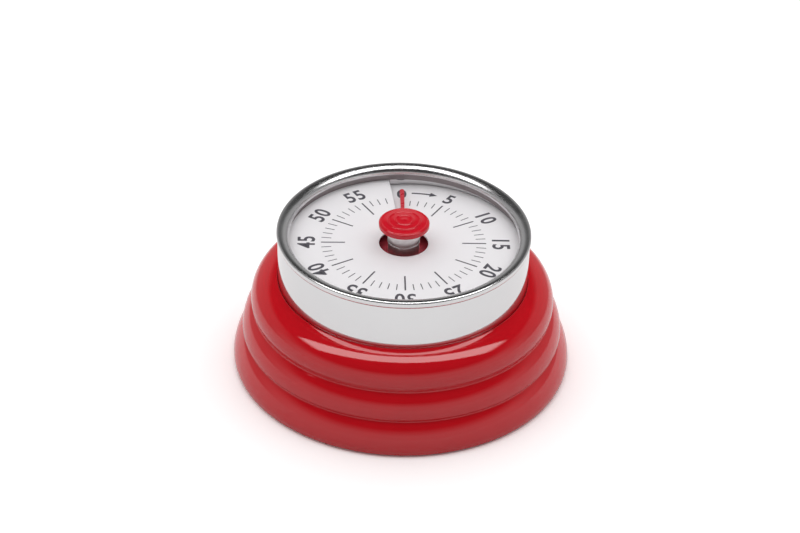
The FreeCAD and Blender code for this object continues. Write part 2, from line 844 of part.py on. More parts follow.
def make_pallets():
    """Anchor whose two round pallets stand astride the escape wheel."""
    outline = disc(wheel_hub, wheel_thickness, escape_wheel_height, verge_place)
    toward = direction(escape_place, verge_place)
    for place in pallet_places():
        elbow_reach = escape_radius + pallet_gap + pallet_width + verge_arm_width / 2
        elbow = escape_place + polar(elbow_reach, direction(escape_place, place))
        outline = outline.fuse(bar(elbow, verge_place, verge_arm_width,
                                   escape_wheel_height, wheel_thickness))
        outline = outline.fuse(bar(place, elbow, pallet_width, escape_wheel_height, wheel_thickness))
    swept = disc(escape_radius + pallet_gap, wheel_thickness, escape_wheel_height, escape_place)
    bore = disc(train_arbor_radius + press_clearance, wheel_thickness, escape_wheel_height, verge_place)
    return outline.cut(swept).cut(bore).removeSplitter()


def make_verge_arbor():
    return arbor(verge_place, train_arbor_radius, train_pivot_radius)


def make_balance_ring():
    """Small brass flywheel that slows the pallets."""
    rim = ring(balance_radius, balance_radius - balance_rim, wheel_thickness, balance_height, verge_place)
    for turn in (0, 90):
        rim = rim.fuse(bar(verge_place + polar(balance_radius - balance_rim / 2, turn),
                           verge_place + polar(balance_radius - balance_rim / 2, turn + 180),
                           balance_spoke, balance_height, wheel_thickness))
    rim = rim.fuse(disc(balance_hub, wheel_thickness, balance_height, verge_place))
    return rim.cut(disc(train_arbor_radius + press_clearance, wheel_thickness,
                        balance_height, verge_place)).removeSplitter()


def make_hammer():
    """Arbor with the arm and head that strike the bell from inside."""
    arm_base = back_plate_height - hammer_arm_lift - hammer_arm_thickness
    shaft = disc(train_arbor_radius, front_plate_height - end_play - arm_base, arm_base, hammer_place)
    pivot = disc(train_pivot_radius, pivot_share * plate_thickness + end_play,
                 front_plate_height - end_play, hammer_place)
    arm = bar(hammer_place, head_place, hammer_arm_width, arm_base, hammer_arm_thickness)
    head = disc(hammer_head_radius, hammer_head_height + hammer_arm_thickness,
                arm_base - hammer_head_height, head_place)
    return shaft.fuse(pivot).fuse(arm).fuse(head).removeSplitter()


def make_hammer_tail():
    """Lever that rides on the strike cam, pressed on the hammer's arbor."""
    lever = bar(hammer_place, tail_place, tail_width, cam_height, cam_thickness)
    lever = lever.fuse(disc(tail_hub, cam_thickness, cam_height, hammer_place))
    return lever.cut(disc(train_arbor_radius + press_clearance, cam_thickness,
                          cam_height, hammer_place)).removeSplitter()


def make_bell():
    """Steel gong, open at the top, screwed to the drum's floor."""
    base = drum_floor_top + boss_height
    bore = bell_screw_radius + running_clearance
    inner_corner = bell_radius - bell_corner
    return revolved((bore, base), (inner_corner, base), (bell_radius, base + bell_corner),
                    (bell_radius, base + bell_height), (bell_radius - bell_wall, base + bell_height),
                    (bell_radius - bell_wall, base + bell_corner),
                    (inner_corner, base + bell_wall), (bore, base + bell_wall))


def make_bell_screw():
    shank_base = cover_top + bell_screw_inset
    head_base = drum_floor_top + boss_height + bell_wall
    head = disc(bell_screw_head_radius, bell_screw_head_height, head_base)
    return head.fuse(disc(bell_screw_radius, head_base - shank_base, shank_base)).removeSplitter()


pieces = {
    "base_skirt": make_base_skirt(),
    "bottom_cover": make_bottom_cover(),
    "magnet": make_magnet(),
    "cover_screws": make_cover_screws(),
    "drum_case": make_drum_case(),
    "bezel_ring": make_bezel_ring(),
    "dial_plate": make_dial_plate(),
    "knob_cap": make_knob_cap(),
    "knob_stem": make_knob_stem(),
    "needle": make_needle(),
    "film_disc": make_film_disc(),
    "main_arbor": make_main_arbor(),
    "back_plate": make_back_plate(),
    "front_plate": make_front_plate(),
    "front_bush": make_front_bush(),
    "plate_pillars": make_plate_pillars(),
    "pillar_nuts": make_pillar_nuts(),
    "movement_screws": make_movement_screws(),
    "mainspring": make_mainspring(),
    "spring_post": make_spring_post(),
    "main_wheel": make_main_wheel(),
    "ratchet_wheel": make_ratchet_wheel(),
    "click": make_click(),
    "strike_cam": make_strike_cam(),
    "second_wheel": make_second_wheel(),
    "second_pinion": make_second_pinion(),
    "third_wheel": make_third_wheel(),
    "third_pinion": make_third_pinion(),
    "escape_wheel": make_escape_wheel(),
    "escape_pinion": make_escape_pinion(),
    "pallets": make_pallets(),
    "verge_arbor": make_verge_arbor(),
    "balance_ring": make_balance_ring(),
    "hammer": make_hammer(),
    "hammer_tail": make_hammer_tail(),
    "bell": make_bell(),
    "bell_screw": make_bell_screw(),
}

for name, shape in pieces.items():
    if not shape.isValid():
        raise ValueError(name + " is not a valid solid")
    shape.exportStep("parts/" + name + ".step")
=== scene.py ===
"""A 60-minute kitchen timer on a white table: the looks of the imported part.

Metres, +Z up, minute 0 of the dial along +Y. Sections follow the timer as it is put together.
"""
import math

import bmesh
import bpy
from mathutils import Matrix, Vector


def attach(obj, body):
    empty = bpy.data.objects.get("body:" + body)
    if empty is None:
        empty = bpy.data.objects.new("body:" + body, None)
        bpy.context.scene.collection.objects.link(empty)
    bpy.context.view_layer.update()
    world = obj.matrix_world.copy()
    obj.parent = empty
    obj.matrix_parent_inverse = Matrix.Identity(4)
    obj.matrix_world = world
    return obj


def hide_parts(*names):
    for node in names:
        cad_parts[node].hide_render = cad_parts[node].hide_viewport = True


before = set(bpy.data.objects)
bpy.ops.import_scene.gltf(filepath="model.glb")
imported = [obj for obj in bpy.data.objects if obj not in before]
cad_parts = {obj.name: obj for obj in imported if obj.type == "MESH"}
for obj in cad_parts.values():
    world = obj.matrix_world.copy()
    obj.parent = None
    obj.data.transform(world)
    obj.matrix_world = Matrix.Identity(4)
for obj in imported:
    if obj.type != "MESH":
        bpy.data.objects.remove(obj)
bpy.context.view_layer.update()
scene = bpy.context.scene
scene.view_settings.view_transform = "Standard"
mm = 0.001


# White table.
# A plain pale sheet lies under the timer and runs far behind it.
# Shiny pieces show it white in front and greyer behind, and soft light from it is weaker.
table_size = 6.0
table_exposure = 1.14
table_mirrored = 1.0
table_behind = 0.42
table_behind_start = 0.05
table_behind_end = 0.13
table_shade = 0.55

sheet = bmesh.new()
bmesh.ops.create_grid(sheet, x_segments=1, y_segments=1, size=table_size)
table_mesh = bpy.data.meshes.new("table")
sheet.to_mesh(table_mesh)
sheet.free()
table = bpy.data.objects.new("table", table_mesh)
scene.collection.objects.link(table)

table_paper = bpy.data.materials.new("table_paper")
table_paper.use_nodes = True
nodes = table_paper.node_tree.nodes
links = table_paper.node_tree.links
nodes.clear()
paper_out = nodes.new("ShaderNodeOutputMaterial")
paper_rays = nodes.new("ShaderNodeLightPath")
paper_place = nodes.new("ShaderNodeTexCoord")
paper_axes = nodes.new("ShaderNodeSeparateXYZ")
links.new(paper_place.outputs["Object"], paper_axes.inputs["Vector"])
paper_grey = nodes.new("ShaderNodeMapRange")
paper_grey.inputs["From Min"].default_value = table_behind_start
paper_grey.inputs["From Max"].default_value = table_behind_end
paper_grey.inputs["To Min"].default_value = table_mirrored
paper_grey.inputs["To Max"].default_value = table_behind
links.new(paper_axes.outputs["Y"], paper_grey.inputs["Value"])
paper_lit = nodes.new("ShaderNodeBsdfDiffuse")
paper_lit.inputs["Color"].default_value = (table_exposure, table_exposure, table_exposure, 1)
paper_mirrored = nodes.new("ShaderNodeBsdfDiffuse")
links.new(paper_grey.outputs["Result"], paper_mirrored.inputs["Color"])
paper_plain = nodes.new("ShaderNodeBsdfDiffuse")
paper_plain.inputs["Color"].default_value = (table_shade, table_shade, table_shade, 1)
mirror_mix = nodes.new("ShaderNodeMixShader")
paper_mix = nodes.new("ShaderNodeMixShader")
links.new(paper_rays.outputs["Is Glossy Ray"], mirror_mix.inputs["Fac"])
links.new(paper_plain.outputs["BSDF"], mirror_mix.inputs[1])
links.new(paper_mirrored.outputs["BSDF"], mirror_mix.inputs[2])
links.new(paper_rays.outputs["Is Camera Ray"], paper_mix.inputs["Fac"])
links.new(mirror_mix.outputs["Shader"], paper_mix.inputs[1])
links.new(paper_lit.outputs["BSDF"], paper_mix.inputs[2])
links.new(paper_mix.outputs["Shader"], paper_out.inputs["Surface"])
table_mesh.materials.append(table_paper)


# Studio room.
# Shiny pieces show a pale wall low in front, a grey wall low behind, a dark ceiling and a bright
# strip overhead. The soft light comes from all round, and more from behind.
light_front = 0.38
light_behind = 1.22
front_glow = 0.95
back_glow = 0.42
ceiling_glow = 0.04
front_edge = 0.15
front_end = 0.42
back_edge = 0.44
back_end = 0.56
strip_glow = 5.6
strip_sides = (1.0, 1.3)
strip_front = (-0.38, -0.32)
strip_rear = (0.10, 0.16)
wall_change = 0.3
light_change = 0.5
mix_factor, mix_first, mix_second, mix_result = 0, 6, 7, 2

room = bpy.data.worlds.new("studio_room")
scene.world = room
room.use_nodes = True
nodes = room.node_tree.nodes
links = room.node_tree.links
nodes.clear()
room_out = nodes.new("ShaderNodeOutputWorld")
room_place = nodes.new("ShaderNodeTexCoord")
room_axes = nodes.new("ShaderNodeSeparateXYZ")
links.new(room_place.outputs["Generated"], room_axes.inputs["Vector"])
room_ramps = []
for glow, edge, end in ((front_glow, front_edge, front_end), (back_glow, back_edge, back_end)):
    ramp = nodes.new("ShaderNodeValToRGB")
    ramp.color_ramp.elements[0].position = edge
    ramp.color_ramp.elements[0].color = (glow, glow, glow, 1)
    ramp.color_ramp.elements[1].position = end
    ramp.color_ramp.elements[1].color = (ceiling_glow, ceiling_glow, ceiling_glow, 1)
    links.new(room_axes.outputs["Z"], ramp.inputs["Fac"])
    room_ramps.append(ramp)
room_behind = nodes.new("ShaderNodeMapRange")
room_behind.inputs["From Min"].default_value = -wall_change
room_behind.inputs["From Max"].default_value = wall_change
links.new(room_axes.outputs["Y"], room_behind.inputs["Value"])
room_blend = nodes.new("ShaderNodeMix")
room_blend.data_type = "RGBA"
links.new(room_behind.outputs["Result"], room_blend.inputs[mix_factor])
links.new(room_ramps[0].outputs["Color"], room_blend.inputs[mix_first])
links.new(room_ramps[1].outputs["Color"], room_blend.inputs[mix_second])
strip_mask = None
for axis, both_sides, limits, before, after in (
        ("X", True, strip_sides, 1.0, 0.0), ("Y", False, strip_front, 0.0, 1.0),
        ("Y", False, strip_rear, 1.0, 0.0)):
    slope = nodes.new("ShaderNodeMath")
    slope.operation = "DIVIDE"
    links.new(room_axes.outputs[axis], slope.inputs[0])
    links.new(room_axes.outputs["Z"], slope.inputs[1])
    if both_sides:
        either = nodes.new("ShaderNodeMath")
        either.operation = "ABSOLUTE"
        links.new(slope.outputs["Value"], either.inputs[0])
        slope = either
    edge = nodes.new("ShaderNodeMapRange")
    edge.inputs["From Min"].default_value = limits[0]
    edge.inputs["From Max"].default_value = limits[1]
    edge.inputs["To Min"].default_value = before
    edge.inputs["To Max"].default_value = after
    links.new(slope.outputs["Value"], edge.inputs["Value"])
    if strip_mask is None:
        strip_mask = edge.outputs["Result"]
    else:
        both = nodes.new("ShaderNodeMath")
        both.operation = "MULTIPLY"
        links.new(strip_mask, both.inputs[0])
        links.new(edge.outputs["Result"], both.inputs[1])
        strip_mask = both.outputs["Value"]
room_strip = nodes.new("ShaderNodeMix")
room_strip.data_type = "RGBA"
room_strip.inputs[mix_second].default_value = (strip_glow, strip_glow, strip_glow, 1)
links.new(strip_mask, room_strip.inputs[mix_factor])
links.new(room_blend.outputs[mix_result], room_strip.inputs[mix_first])
room_seen = nodes.new("ShaderNodeBackground")
room_soft = nodes.new("ShaderNodeMapRange")
room_soft.inputs["From Min"].default_value = -light_change
room_soft.inputs["From Max"].default_value = light_change
room_soft.inputs["To Min"].default_value = light_front
room_soft.inputs["To Max"].default_value = light_behind
links.new(room_axes.outputs["Y"], room_soft.inputs["Value"])
room_even = nodes.new("ShaderNodeBackground")
room_even.inputs["Color"].default_value = (1.0, 1.0, 1.0, 1)
links.new(room_soft.outputs["Result"], room_even.inputs["Strength"])
room_white = nodes.new("ShaderNodeBackground")
room_rays = nodes.new("ShaderNodeLightPath")
glossy_mix = nodes.new("ShaderNodeMixShader")
camera_mix = nodes.new("ShaderNodeMixShader")
room_white.inputs["Color"].default_value = (1.0, 1.0, 1.0, 1)
links.new(room_strip.outputs[mix_result], room_seen.inputs["Color"])
links.new(room_rays.outputs["Is Glossy Ray"], glossy_mix.inputs["Fac"])
links.new(room_even.outputs["Background"], glossy_mix.inputs[1])
links.new(room_seen.outputs["Background"], glossy_mix.inputs[2])
links.new(room_rays.outputs["Is Camera Ray"], camera_mix.inputs["Fac"])
links.new(glossy_mix.outputs["Shader"], camera_mix.inputs[1])
links.new(room_white.outputs["Background"], camera_mix.inputs[2])
links.new(camera_mix.outputs["Shader"], room_out.inputs["Surface"])


# Strip lamp.
# A long soft box lights the timer from where the room's bright strip is.
# Shiny pieces show that strip, so the lamp itself is left out of reflections.
strip_height = 1.0
strip_near = -0.36
strip_far = 0.12
strip_length = 2.3
strip_power = 4.4

strip_light = bpy.data.lights.new("strip_lamp", "AREA")
strip_light.shape = "RECTANGLE"
strip_light.size = strip_length
strip_light.size_y = strip_far - strip_near
strip_light.energy = strip_power
strip = bpy.data.objects.new("strip_lamp", strip_light)
strip.location = (0, (strip_near + strip_far) / 2, strip_height)
strip.visible_glossy = False
scene.collection.objects.link(strip)


# Camera.
# It looks down at the timer from the front, a little to the left, and hangs slightly askew.
image_width = 800
camera_rise = math.radians(35.27)
camera_side = math.radians(-92.0)
camera_distance = 0.4985
camera_roll = 0.0268
camera_aim = Vector((0, 0, 0.015))
focal_pixels = 2365.5
aim_offset_right = 2.24
aim_offset_down = 29.13

camera_data = bpy.data.cameras.new("camera")
camera_data.sensor_width = 36.0
camera_data.lens = focal_pixels * camera_data.sensor_width / image_width
camera_data.shift_x = -aim_offset_right / image_width
camera_data.shift_y = aim_offset_down / image_width
camera_data.clip_start = 0.01
camera = bpy.data.objects.new("camera", camera_data)
back = Vector((math.cos(camera_rise) * math.cos(camera_side),
               math.cos(camera_rise) * math.sin(camera_side), math.sin(camera_rise)))
level_right = Vector((0, 0, 1)).cross(back).normalized()
level_up = back.cross(level_right)
right = math.cos(camera_roll) * level_right + math.sin(camera_roll) * level_up
up = math.cos(camera_roll) * level_up - math.sin(camera_roll) * level_right
camera.matrix_world = Matrix.Translation(camera_aim + back * camera_distance) @ Matrix(
    (right, up, back)).transposed().to_4x4()
scene.collection.objects.link(camera)
scene.camera = camera


# Stepped base.
# A bell of sheet steel, pressed in three bulging tiers and dipped in glossy red lacquer.
# It stands on its rolled hem, and the drum is pushed into its open top.
hem_radius = 34.3 * mm
hem_turn = 0.6 * mm
hem_depth = 2.6 * mm
foot_radius = 35.65 * mm
foot_height = 1.6 * mm
step_one_radius = 33.24 * mm
step_one_height = 7.4 * mm
step_two_radius = 31.34 * mm
step_two_height = 13.3 * mm
tier_bulge = 0.44 * mm
tier_lean = 0.7 * mm
tier_swell = 0.4 * mm
shoulder_start = 14.7 * mm
rim_radius = 26.2 * mm
rim_height = 20.55 * mm
shoulder_inward = 0.29
shoulder_upward = 0.73
base_wall = 0.8 * mm
rim_depth = 1.1 * mm
crease_round = 0.22 * mm
weld_distance = 1e-7
noise_low = 0.3
noise_high = 0.7
lacquer_colour = (0.60, 0.0055, 0.0125, 1)


def arc_centre(start, middle, end):
    """Centre of the circle through three (radius, height) points."""
    first = Vector((middle[0] - start[0], middle[1] - start[1]))
    second = Vector((end[0] - start[0], end[1] - start[1]))
    cross = 2 * (first.x * second.y - first.y * second.x)
    across = (second.y * first.length_squared - first.y * second.length_squared) / cross
    upward = (first.x * second.length_squared - second.x * first.length_squared) / cross
    return Vector((start[0] + across, 0, start[1] + upward))


def made_verts(made):
    """Vertices among the items that a mesh step made."""
    return [item for item in made if isinstance(item, bmesh.types.BMVert)]


def swing(shape, geom, angle, steps, centre=(0, 0, 0), axis=(0, 0, 1), closed=False):
    """Sweep points, edges or faces round an axis; gives what the last step made."""
    return bmesh.ops.spin(shape, geom=geom, cent=centre, axis=axis, dvec=(0, 0, 0), angle=angle,
                          steps=steps, use_merge=closed, use_duplicate=False)["geom_last"]


def thicken(shape, thickness):
    """Raise a flat outline to a plate."""
    top = bmesh.ops.extrude_face_region(shape, geom=shape.faces[:])["geom"]
    bmesh.ops.translate(shape, verts=made_verts(top), vec=(0, 0, thickness))
    bmesh.ops.recalc_face_normals(shape, faces=shape.faces[:])


def turned(start, *steps, corners=0.0, turns=256, arc_steps=14):
    """Closed outline spun about the upright axis; a step is a point, or a point on an arc and its end."""
    shape = bmesh.new()
    first = shape.verts.new((start[0], 0, start[1]))
    last = first
    sharp = [first]
    for step in steps:
        if isinstance(step[0], tuple):
            here = (last.co.x, last.co.z)
            centre = arc_centre(here, *step)
            from_angle = math.atan2(here[1] - centre.z, here[0] - centre.x)
            to_angle = math.atan2(step[1][1] - centre.z, step[1][0] - centre.x)
            via_angle = math.atan2(step[0][1] - centre.z, step[0][0] - centre.x)
            forward = (to_angle - from_angle) % math.tau
            if (via_angle - from_angle) % math.tau > forward:
                forward -= math.tau
            last = made_verts(swing(shape, [last], forward, arc_steps, centre=centre, axis=(0, -1, 0)))[0]
        else:
            last = bmesh.ops.extrude_vert_indiv(shape, verts=[last])["verts"][0]
            last.co = (step[0], 0, step[1])
        sharp.append(last)
    shape.edges.new((last, first))
    if corners:
        bmesh.ops.bevel(shape, geom=[v for v in sharp if v.co.x > corners], offset=corners,
                        affect="VERTICES", segments=3, profile=0.5, material=-1, clamp_overlap=True)
    swing(shape, shape.verts[:] + shape.edges[:], math.tau, turns, closed=True)
    bmesh.ops.remove_doubles(shape, verts=shape.verts[:], dist=weld_distance)
    bmesh.ops.recalc_face_normals(shape, faces=shape.faces[:])
    return shape


def piece(name, shape, body, slot, material, *replaced, sharp=32.0):
    """Finished piece from a bmesh, smooth apart from its sharp edges, riding on a body."""
    mesh = bpy.data.meshes.new(name)
    shape.to_mesh(mesh)
    shape.free()
    mesh.shade_smooth()
    mesh.set_sharp_from_angle(angle=math.radians(sharp))
    mesh.materials.append(material)
    made = bpy.data.objects.new(name, mesh)
    scene.collection.objects.link(made)
    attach(made, body)
    if replaced:
        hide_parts(*replaced)
    return made


def finish_nodes(name):
    """Material with a shader, an output and a fine noise read from the object's own coordinates."""
    material = bpy.data.materials.new(name)
    material.use_nodes = True
    tree = material.node_tree
    shader = tree.nodes["Principled BSDF"]
    place = tree.nodes.new("ShaderNodeTexCoord")
    grain = tree.nodes.new("ShaderNodeTexNoise")
    tree.links.new(place.outputs["Object"], grain.inputs["Vector"])
    return material, tree, shader, grain


def vary(tree, grain, shader, socket, low, high):
    """A shader value that drifts between two limits with the noise."""
    drift = tree.nodes.new("ShaderNodeMapRange")
    drift.inputs["From Min"].default_value = noise_low
    drift.inputs["From Max"].default_value = noise_high
    drift.inputs["To Min"].default_value = low
    drift.inputs["To Max"].default_value = high
    tree.links.new(grain.outputs["Fac"], drift.inputs["Value"])
    tree.links.new(drift.outputs["Result"], shader.inputs[socket])


def tint(tree, grain, shader, dark, light):
    """A base colour that drifts between two near shades with the noise."""
    blend = tree.nodes.new("ShaderNodeMix")
    blend.data_type = "RGBA"
    blend.inputs[mix_first].default_value = dark
    blend.inputs[mix_second].default_value = light
    tree.links.new(grain.outputs["Fac"], blend.inputs[mix_factor])
    tree.links.new(blend.outputs[mix_result], shader.inputs["Base Color"])


def relief(tree, grain, shader, height):
    """A faint bump from the noise."""
    bump = tree.nodes.new("ShaderNodeBump")
    bump.inputs["Strength"].default_value = 1.0
    bump.inputs["Distance"].default_value = height
    tree.links.new(grain.outputs["Fac"], bump.inputs["Height"])
    tree.links.new(bump.outputs["Normal"], shader.inputs["Normal"])


def shade(colour, factor):
    """A colour made lighter or darker."""
    return (colour[0] * factor, colour[1] * factor, colour[2] * factor, 1)


red_lacquer, tree, shader, grain = finish_nodes("red_lacquer")
grain.inputs["Scale"].default_value = 260.0
grain.inputs["Detail"].default_value = 2.0
tint(tree, grain, shader, shade(lacquer_colour, 0.96), shade(lacquer_colour, 1.04))
vary(tree, grain, shader, "Roughness", 0.05, 0.08)
relief(tree, grain, shader, 0.0000008)
shader.inputs["IOR"].default_value = 1.5

one_wall = step_one_radius + tier_bulge
two_wall = step_two_radius + tier_bulge
rise = step_two_height - (step_one_height + tier_lean)
drop = one_wall - step_two_radius
sweep = (rise ** 2 + drop ** 2) / (2 * drop)
half_turn = math.asin(rise / sweep) / 2
tier_one = ((step_one_radius + foot_radius) / 2 + tier_swell,
            (step_one_height + foot_height) / 2 + tier_swell)
tier_two = (one_wall - sweep * (1 - math.cos(half_turn)),
            step_one_height + tier_lean + sweep * math.sin(half_turn))
shoulder = (two_wall - shoulder_inward * (two_wall - rim_radius),
            shoulder_start + shoulder_upward * (rim_height - shoulder_start))


def inside(radius, height):
    """Point on the inner side of the sheet."""
    return (radius - base_wall, height - tier_lean)


base_shape = turned(
    (hem_radius, 0),
    (hem_radius + hem_turn, 0),
    (foot_radius - hem_turn / 4, foot_height / 3),
    (foot_radius, foot_height),
    (tier_one, (step_one_radius, step_one_height)),
    (one_wall, step_one_height + tier_lean),
    (tier_two, (step_two_radius, step_two_height)),
    (two_wall, shoulder_start),
    (shoulder, (rim_radius, rim_height)),
    (rim_radius, rim_height - rim_depth),
    inside(*shoulder),
    inside(two_wall, shoulder_start),
    inside(step_two_radius, step_two_height),
    inside(*tier_two),
    inside(one_wall, step_one_height + tier_lean),
    inside(step_one_radius, step_one_height),
    inside(*tier_one),
    (hem_radius, hem_depth),
    corners=crease_round, turns=384)
piece("base_bell", base_shape, "housing", "red_lacquer", red_lacquer, "base_skirt")


# Bottom cover, magnet and screws.
# Black moulded plate, a ferrite disc pressed in its pocket and three pan-head screws from below.
black_plastic, tree, shader, grain = finish_nodes("black_plastic")
grain.inputs["Scale"].default_value = 1800.0
tint(tree, grain, shader, (0.016, 0.016, 0.017, 1), (0.024, 0.024, 0.025, 1))
vary(tree, grain, shader, "Roughness", 0.45, 0.6)
relief(tree, grain, shader, 0.00001)

ferrite, tree, shader, grain = finish_nodes("ferrite")
grain.inputs["Scale"].default_value = 900.0
tint(tree, grain, shader, (0.035, 0.033, 0.032, 1), (0.06, 0.057, 0.055, 1))
vary(tree, grain, shader, "Roughness", 0.5, 0.75)
relief(tree, grain, shader, 0.00001)


def metal(name, dark, light, rough, scale, relief_height):
    """Bare metal with a fine irregular polish."""
    material, tree, shader, grain = finish_nodes(name)
    grain.inputs["Scale"].default_value = scale
    grain.inputs["Detail"].default_value = 3.0
    tint(tree, grain, shader, dark, light)
    vary(tree, grain, shader, "Roughness", *rough)
    relief(tree, grain, shader, relief_height)
    shader.inputs["Metallic"].default_value = 1.0
    return material


zinc = metal("zinc", (0.52, 0.54, 0.56, 1), (0.66, 0.68, 0.70, 1), (0.28, 0.4), 1200.0, 0.000003)


def dress(material, *names):
    """Give CAD nodes a finish in the slots that they have."""
    for name in names:
        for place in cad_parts[name].material_slots:
            place.material = material


dress(black_plastic, "bottom_cover")
dress(ferrite, "magnet")
dress(zinc, "cover_screws", "movement_screws", "pillar_nuts")


# Drum.
# Chromed cup that holds the movement; its wall shows between the base and the bezel.
# Three posts carry the movement and a ledge carries the dial, apart from its bent part.
drum_radius = 26.15 * mm
drum_bore = 24.65 * mm
cover_top = 2.4 * mm
drum_floor_top = 3.9 * mm
drum_wall_height = 30.4 * mm
spigot_radius = 25.9 * mm
drum_top = 31.2 * mm
dial_height = 28.15 * mm
ledge_width = 1.4 * mm
ledge_thickness = 1.0 * mm
post_circle = 21.8 * mm
post_radius = 2.3 * mm
post_bore = 0.9 * mm
post_height = 8.5 * mm
post_direction = math.radians(224.0)
screw_bore = 1.2 * mm
ledge_start = math.radians(-30.0)
ledge_turn = math.radians(-234.0)
ledge_steps = 120
boss_radius = 3.5 * mm
boss_height = 0.8 * mm
drum_edge = 0.08 * mm

chrome_dark = (0.64, 0.633, 0.64, 1)
chrome_light = (0.665, 0.658, 0.665, 1)
chrome = metal("chrome", chrome_dark, chrome_light, (0.03, 0.06), 240.0, 0.0000004)
drum_shape = turned(
    (screw_bore, cover_top),
    (drum_radius, cover_top),
    (drum_radius, drum_wall_height),
    (spigot_radius, drum_wall_height),
    (spigot_radius, drum_top),
    (drum_bore, drum_top),
    (drum_bore, drum_floor_top),
    (boss_radius, drum_floor_top),
    (boss_radius, drum_floor_top + boss_height),
    (screw_bore, drum_floor_top + boss_height),
    corners=drum_edge, turns=384)
piece("drum", drum_shape, "housing", "chrome", chrome, "drum_case")

posts_shape = bmesh.new()
for number in range(3):
    post_turn = post_direction + number * math.tau / 3
    post = turned(
        (post_bore, drum_floor_top),
        (post_radius, drum_floor_top),
        (post_radius, drum_floor_top + post_height),
        (post_bore, drum_floor_top + post_height),
        turns=48)
    bmesh.ops.translate(post, verts=post.verts[:],
                        vec=(post_circle * math.cos(post_turn), post_circle * math.sin(post_turn), 0))
    post_mesh = bpy.data.meshes.new("post")
    post.to_mesh(post_mesh)
    post.free()
    posts_shape.from_mesh(post_mesh)
    bpy.data.meshes.remove(post_mesh)
piece("drum_posts", posts_shape, "housing", "chrome", chrome)

ledge_shape = bmesh.new()
ledge_corners = [ledge_shape.verts.new((radius, 0, height)) for radius, height in (
    (drum_bore, dial_height - ledge_thickness), (drum_bore, dial_height),
    (drum_bore - ledge_width, dial_height), (drum_bore - ledge_width, dial_height - ledge_thickness))]
ledge_shape.faces.new(ledge_corners)
bmesh.ops.rotate(ledge_shape, verts=ledge_shape.verts[:], cent=(0, 0, 0),
                 matrix=Matrix.Rotation(ledge_start, 3, "Z"))
swing(ledge_shape, ledge_shape.faces[:], ledge_turn, ledge_steps)
bmesh.ops.recalc_face_normals(ledge_shape, faces=ledge_shape.faces[:])
piece("drum_ledge", ledge_shape, "housing", "chrome", chrome)


# Movement.
# Brass plates on steel pillars, brass wheels with steel pinions and a blued spring; all hidden.
brass = metal("brass", (0.68, 0.47, 0.17, 1), (0.80, 0.58, 0.25, 1), (0.22, 0.36), 700.0, 0.000003)
turned_steel = metal("turned_steel", (0.46, 0.46, 0.47, 1), (0.6, 0.6, 0.61, 1),
                     (0.2, 0.32), 900.0, 0.000002)
spring_steel = metal("spring_steel", (0.10, 0.13, 0.20, 1), (0.16, 0.19, 0.27, 1),
                     (0.22, 0.34), 600.0, 0.000002)
bell_steel = metal("bell_steel", (0.66, 0.66, 0.67, 1), (0.78, 0.78, 0.79, 1),
                   (0.1, 0.2), 300.0, 0.000002)
dress(brass, "back_plate", "front_plate", "front_bush", "main_wheel", "second_wheel", "third_wheel",
      "escape_wheel", "balance_ring", "strike_cam", "hammer_tail")
dress(turned_steel, "main_arbor", "plate_pillars", "spring_post", "ratchet_wheel", "click",
      "second_pinion", "third_pinion", "escape_pinion", "pallets", "verge_arbor", "hammer",
      "bell_screw")
dress(spring_steel, "mainspring")
dress(bell_steel, "bell")


# Dial.
# Thin satin-white plate, cut along minute 59 and bent down clockwise of the cut to minute 20.
dial_radius = 24.55 * mm
dial_hole = 5.13 * mm
dial_thickness = 0.3 * mm
dial_top = dial_height + dial_thickness
minutes_round = 60
minute_turn = 6.0
minute_zero = 90.0
slit_minute = -1.0
slit_width = 0.3 * mm
dip_depth = 1.45 * mm
dip_end_minute = 20.0
dip_curve = 1.7
dial_turns = 360
dial_bands = 20
dial_colour = (0.83, 0.81, 0.83, 1)


def dial_angle(minute):
    """Direction of a minute on the dial, in radians from +X."""
    return math.radians(minute_zero - minute_turn * minute)


def dial_sink(place):
    """How far the printed side hangs below the flat part of the dial at a place."""
    minute = (minute_zero - math.degrees(math.atan2(place.y, place.x))) / minute_turn
    while minute < slit_minute:
        minute += minutes_round
    while minute >= slit_minute + minutes_round:
        minute -= minutes_round
    if minute > dip_end_minute:
        return 0.0
    radius = math.hypot(place.x, place.y)
    span = dip_end_minute - slit_minute
    reach = max(0.0, (radius - dial_hole) / (dial_radius - dial_hole))
    return dip_depth * ((dip_end_minute - minute) / span) ** dip_curve * reach


dial_shape = bmesh.new()
slit_half = slit_width / (2 * dial_radius)
spoke_start = dial_shape.verts.new((dial_hole, 0, 0))
spoke_end = dial_shape.verts.new((dial_radius, 0, 0))
dial_shape.edges.new((spoke_start, spoke_end))
bmesh.ops.subdivide_edges(dial_shape, edges=dial_shape.edges[:], cuts=dial_bands)
bmesh.ops.rotate(dial_shape, verts=dial_shape.verts[:], cent=(0, 0, 0),
                 matrix=Matrix.Rotation(dial_angle(slit_minute) - slit_half, 3, "Z"))
swing(dial_shape, dial_shape.verts[:] + dial_shape.edges[:], -(math.tau - 2 * slit_half), dial_turns)
for vert in dial_shape.verts:
    vert.co.z = dial_top - dial_sink(vert.co)
bmesh.ops.recalc_face_normals(dial_shape, faces=dial_shape.faces[:])
if sum(face.normal.z for face in dial_shape.faces) < 0:
    bmesh.ops.reverse_faces(dial_shape, faces=dial_shape.faces[:])
bmesh.ops.solidify(dial_shape, geom=dial_shape.faces[:], thickness=dial_thickness)
bmesh.ops.recalc_face_normals(dial_shape, faces=dial_shape.faces[:])

